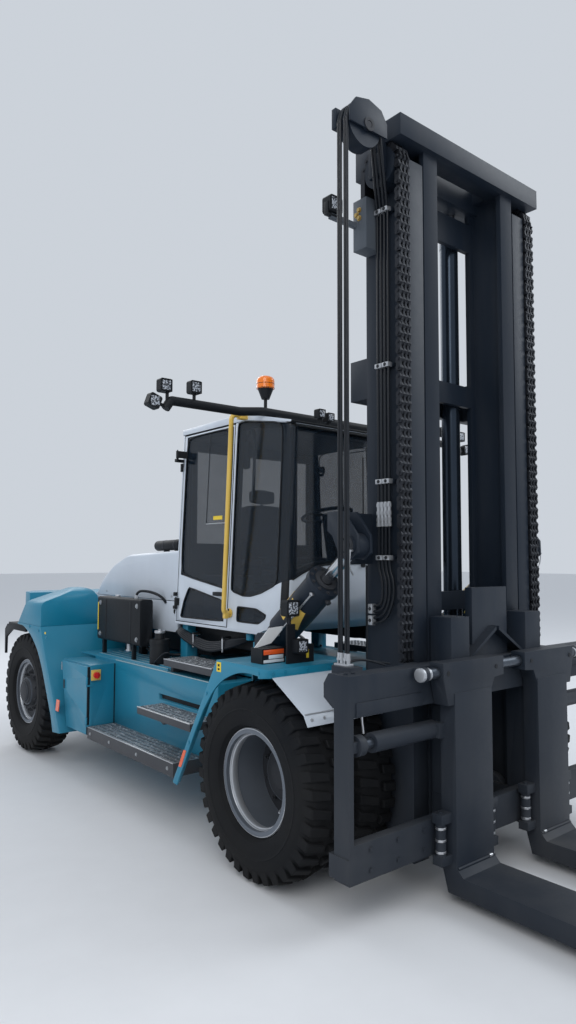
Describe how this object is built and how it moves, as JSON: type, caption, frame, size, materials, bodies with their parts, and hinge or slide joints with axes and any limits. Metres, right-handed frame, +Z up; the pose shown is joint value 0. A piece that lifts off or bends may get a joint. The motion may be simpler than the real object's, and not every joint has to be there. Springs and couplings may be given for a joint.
{
  "type": "heavy forklift",
  "caption": "Heavy counterbalance forklift with a two-stage mast, chain-hung carriage, forks, dual drive tyres, steered rear wheels, glazed cab and lifting engine hood.",
  "frame": {"origin": "middle of the overall box at ground level", "axes": "+Z up, forks face -Y, +X is the machine's left"},
  "size_m": [3.2454, 7.66, 4.404],
  "materials": {
    "teal": "satin teal-blue paint",
    "grey_white": "satin light grey-white paint",
    "charcoal": "satin dark charcoal paint",
    "black_trim": "matte black",
    "tyre": "worn black tyre rubber",
    "silver": "silver wheel paint",
    "galvanised": "galvanised checker plate",
    "chrome": "chromed rod",
    "yellow": "yellow paint",
    "glass": "tinted glass",
    "amber": "amber lens",
    "seat": "black seat cloth",
    "hose": "black hose rubber",
    "iron": "dark cast iron",
    "chain": "greased steel chain"
  },
  "bodies": {
    "chassis": {"chassis_frame": "teal", "drive_axle": "iron", "steer_axle": "iron", "side_tanks": "teal", "side_steps": "galvanised", "side_boxes": "teal", "rear_fenders": "teal", "rear_covers": "teal", "rear_flaps": "black_trim", "counterweight": "teal", "rear_grille": "black_trim", "front_guards": "teal", "engine_block": "iron", "hood_sides": "grey_white", "air_box": "black_trim", "cab_shell": "grey_white", "cab_roof": "grey_white", "cab_glass": "glass", "cab_seat": "seat", "cab_controls": "black_trim", "handrails": "yellow", "lamp_arms": "black_trim", "work_lamps": "black_trim", "beacon_dome": "amber", "tilt_towers": "charcoal"},
    "hood": {"hood_lid": "grey_white"},
    "cabinet_lid": {"cabinet_door": "teal"},
    "door_right": {"door_frame_right": "grey_white", "door_glass_right": "glass"},
    "door_left": {"door_frame_left": "grey_white", "door_glass_left": "glass"},
    "drive_wheel_right": {"drive_rims_right": "silver", "drive_tyres_right": "tyre"},
    "drive_wheel_left": {"drive_rims_left": "silver", "drive_tyres_left": "tyre"},
    "steer_knuckle_right": {"knuckle_right": "iron"},
    "steer_knuckle_left": {"knuckle_left": "iron"},
    "steer_wheel_right": {"steer_rim_right": "silver", "steer_tyre_right": "tyre"},
    "steer_wheel_left": {"steer_rim_left": "silver", "steer_tyre_left": "tyre"},
    "outer_mast": {"mast_outer": "charcoal", "mast_lamp": "black_trim", "lift_barrels": "charcoal", "mast_hoses": "hose", "anchor_chains": "chain", "mast_hose_tails": "hose"},
    "inner_mast": {"mast_inner": "charcoal", "lift_rods": "chrome", "mast_pulleys": "charcoal", "carriage_chains": "chain", "carriage_hoses": "hose"},
    "carriage": {"carriage_frame": "charcoal", "carriage_bars": "chrome"},
    "fork_body_right": {"fork_right": "charcoal"},
    "fork_body_left": {"fork_left": "charcoal"},
    "tilt_tube_right": {"tilt_barrel_right": "charcoal"},
    "tilt_tube_left": {"tilt_barrel_left": "charcoal"},
    "tilt_arm_right": {"tilt_rod_right": "chrome"},
    "tilt_arm_left": {"tilt_rod_left": "chrome"}
  },
  "joints": [
    {"name": "drive_spin_right", "type": "hinge", "parent": "chassis", "child": "drive_wheel_right", "pos_m": [0, -0.52, 0.56], "axis": [1, 0, 0], "continuous": true},
    {"name": "drive_spin_left", "type": "hinge", "parent": "chassis", "child": "drive_wheel_left", "pos_m": [0, -0.52, 0.56], "axis": [1, 0, 0], "continuous": true},
    {"name": "steer_right", "type": "hinge", "parent": "chassis", "child": "steer_knuckle_right", "pos_m": [-0.9, 3.094, 0.56], "axis": [0, 0, 1], "range_deg": [-55, 55]},
    {"name": "steer_left", "type": "hinge", "parent": "chassis", "child": "steer_knuckle_left", "pos_m": [0.9, 3.094, 0.56], "axis": [0, 0, 1], "range_deg": [-55, 55]},
    {"name": "steer_spin_right", "type": "hinge", "parent": "steer_knuckle_right", "child": "steer_wheel_right", "pos_m": [0, 3.094, 0.56], "axis": [1, 0, 0], "continuous": true},
    {"name": "steer_spin_left", "type": "hinge", "parent": "steer_knuckle_left", "child": "steer_wheel_left", "pos_m": [0, 3.094, 0.56], "axis": [1, 0, 0], "continuous": true},
    {"name": "mast_tilt", "type": "hinge", "parent": "chassis", "child": "outer_mast", "pos_m": [0, -0.75, 0.35], "axis": [1, 0, 0], "range_deg": [-10, 5]},
    {"name": "mast_lift", "type": "slide", "parent": "outer_mast", "child": "inner_mast", "axis": [0, 0, 1], "range_m": [0, 2.5], "deforming": ["anchor_chains", "mast_hose_tails"]},
    {"name": "carriage_lift", "type": "slide", "parent": "inner_mast", "child": "carriage", "axis": [0, 0, 1], "range_m": [0, 2.5], "deforming": ["carriage_chains", "carriage_hoses"]},
    {"name": "fork_shift_right", "type": "slide", "parent": "carriage", "child": "fork_body_right", "axis": [-1, 0, 0], "range_m": [-0.1, 0.06]},
    {"name": "fork_shift_left", "type": "slide", "parent": "carriage", "child": "fork_body_left", "axis": [1, 0, 0], "range_m": [-0.1, 0.06]},
    {"name": "tilt_tube_right_swing", "type": "hinge", "parent": "chassis", "child": "tilt_tube_right", "pos_m": [-0.86, -0.22, 1.29], "axis": [1, 0, 0], "range_deg": [-13.5, 7]},
    {"name": "tilt_rod_right_slide", "type": "slide", "parent": "tilt_tube_right", "child": "tilt_arm_right", "axis": [0, -0.7777, 0.6287], "range_m": [-0.19, 0.1]},
    {"name": "tilt_tube_left_swing", "type": "hinge", "parent": "chassis", "child": "tilt_tube_left", "pos_m": [0.86, -0.22, 1.29], "axis": [1, 0, 0], "range_deg": [-13.5, 7]},
    {"name": "tilt_rod_left_slide", "type": "slide", "parent": "tilt_tube_left", "child": "tilt_arm_left", "axis": [0, -0.7777, 0.6287], "range_m": [-0.19, 0.1]},
    {"name": "door_right_swing", "type": "hinge", "parent": "chassis", "child": "door_right", "pos_m": [-0.786, 1.107, 2.06], "axis": [0, 0, -1], "range_deg": [0, 80]},
    {"name": "door_left_swing", "type": "hinge", "parent": "chassis", "child": "door_left", "pos_m": [0.786, 1.107, 2.06], "axis": [0, 0, 1], "range_deg": [0, 80]},
    {"name": "cabinet_door_swing", "type": "hinge", "parent": "chassis", "child": "cabinet_lid", "pos_m": [-1.236, 1.73, 0.67], "axis": [0, 0, 1], "range_deg": [0, 100]},
    {"name": "hood_lift", "type": "hinge", "parent": "chassis", "child": "hood", "pos_m": [0, 2.742, 1.478], "axis": [-1, 0, 0], "range_deg": [0, 55]}
  ],
  "couplings": [
    {"joint": "steer_left", "follows": "steer_right", "ratio": 1},
    {"joint": "carriage_lift", "follows": "mast_lift", "ratio": 1},
    {"joint": "tilt_tube_right_swing", "follows": "mast_tilt", "ratio": 1.27},
    {"joint": "tilt_rod_right_slide", "follows": "mast_tilt", "m_per_rad": 1.045},
    {"joint": "tilt_tube_left_swing", "follows": "mast_tilt", "ratio": 1.27},
    {"joint": "tilt_rod_left_slide", "follows": "mast_tilt", "m_per_rad": 1.045}
  ]
}
